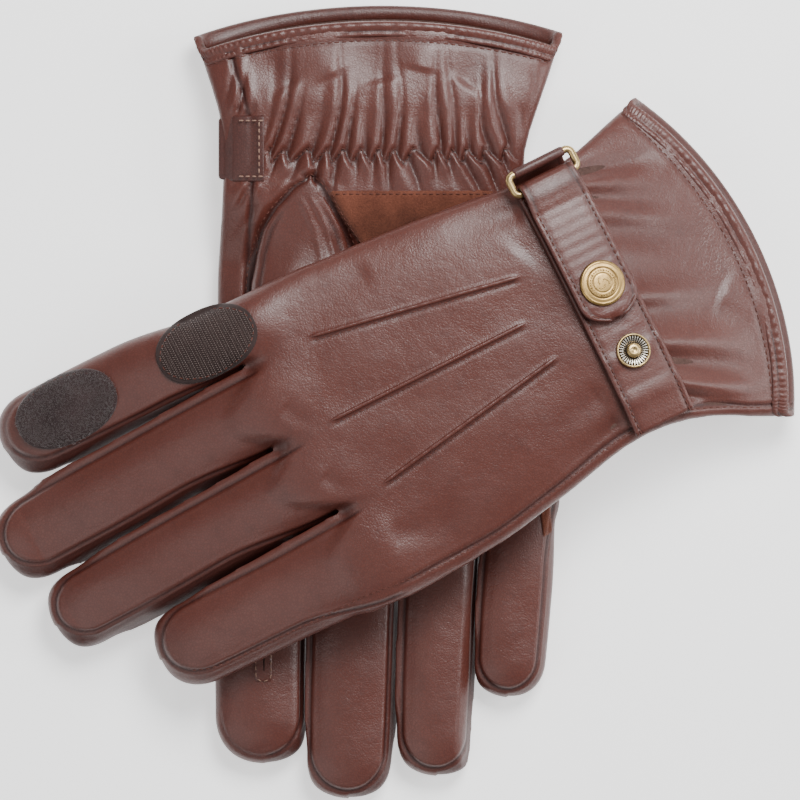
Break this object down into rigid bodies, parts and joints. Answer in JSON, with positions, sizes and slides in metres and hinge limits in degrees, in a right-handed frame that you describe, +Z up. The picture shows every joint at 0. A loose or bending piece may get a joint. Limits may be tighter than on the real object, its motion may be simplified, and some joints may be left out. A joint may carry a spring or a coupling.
{
  "type": "pair of gloves",
  "caption": "Pair of lined leather gloves with a fold-back index fingertip held by hook and loop patches, a buckled wrist strap with snaps, and suede palm patches",
  "frame": {"origin": "centre of the footprint, on the surface the pair lies on", "axes": "+Z up, away from the surface; the right glove's fingers point along -Y; the left glove lies over it with its fingers towards -X and -Y"},
  "size_m": [0.2607, 0.2595, 0.0515],
  "materials": {
    "leather": "satin, fine grain",
    "suede": "napped suede",
    "lining": "fine knit",
    "elastic": "woven tape",
    "loop_pile": "fuzzy loop pile",
    "hook_tape": "rows of small hooks",
    "thread": "twisted sewing thread",
    "brass": "antiqued, satin"
  },
  "bodies": {
    "right_glove": {"right_back_panel": "leather", "right_palm_panel": "leather", "right_fourchettes": "leather", "right_thumb": "leather", "right_lining": "lining", "right_cuff_hem": "leather", "right_wrist_elastic": "elastic", "right_palm_patch": "suede", "right_side_wedge": "suede", "right_slit_welt": "leather", "right_back_points": "leather", "right_strap": "leather", "right_buckle": "brass", "right_keeper": "leather", "right_snap_studs": "brass", "right_hook_patch": "hook_tape"},
    "left_glove": {"left_back_panel": "leather", "left_palm_panel": "leather", "left_fourchettes": "leather", "left_thumb": "leather", "left_lining": "lining", "left_cuff_hem": "leather", "left_wrist_elastic": "elastic", "left_palm_patch": "suede", "left_side_wedge": "suede", "left_slit_welt": "leather", "left_back_points": "leather", "left_strap": "leather", "left_buckle": "brass", "left_keeper": "leather", "left_snap_studs": "brass", "left_hook_patch": "hook_tape"},
    "left_tab": {"left_strap_tab": "leather", "left_snap_cap": "brass", "left_snap_socket": "brass"},
    "left_fingertip": {"left_index_tip": "leather", "left_loop_patch": "loop_pile"},
    "right_tab": {"right_strap_tab": "leather", "right_snap_cap": "brass", "right_snap_socket": "brass"},
    "right_fingertip": {"right_index_tip": "leather", "right_loop_patch": "loop_pile"}
  },
  "joints": [
    {"name": "left_glove_lift", "type": "slide", "parent": "right_glove", "child": "left_glove", "axis": [0, 0, 1], "range_m": [0, 0.12]},
    {"name": "left_tab_hinge", "type": "hinge", "parent": "left_glove", "child": "left_tab", "pos_m": [0.05054, 0.07287, 0.04267], "axis": [-0.8728, -0.4352, 0.2208], "range_deg": [0, 85]},
    {"name": "left_fingertip_fold", "type": "hinge", "parent": "left_glove", "child": "left_fingertip", "pos_m": [-0.08629, 0.00518, 0.03451], "axis": [-0.4462, 0.8949, 0], "range_deg": [0, 175]},
    {"name": "right_tab_hinge", "type": "hinge", "parent": "right_glove", "child": "right_tab", "pos_m": [-0.0483, 0.0837, 0.00712], "axis": [0, 1, 0], "range_deg": [0, 85]},
    {"name": "right_fingertip_fold", "type": "hinge", "parent": "right_glove", "child": "right_fingertip", "pos_m": [-0.04255, -0.0673, -0.00005], "axis": [1, 0, 0], "range_deg": [0, 175]}
  ]
}
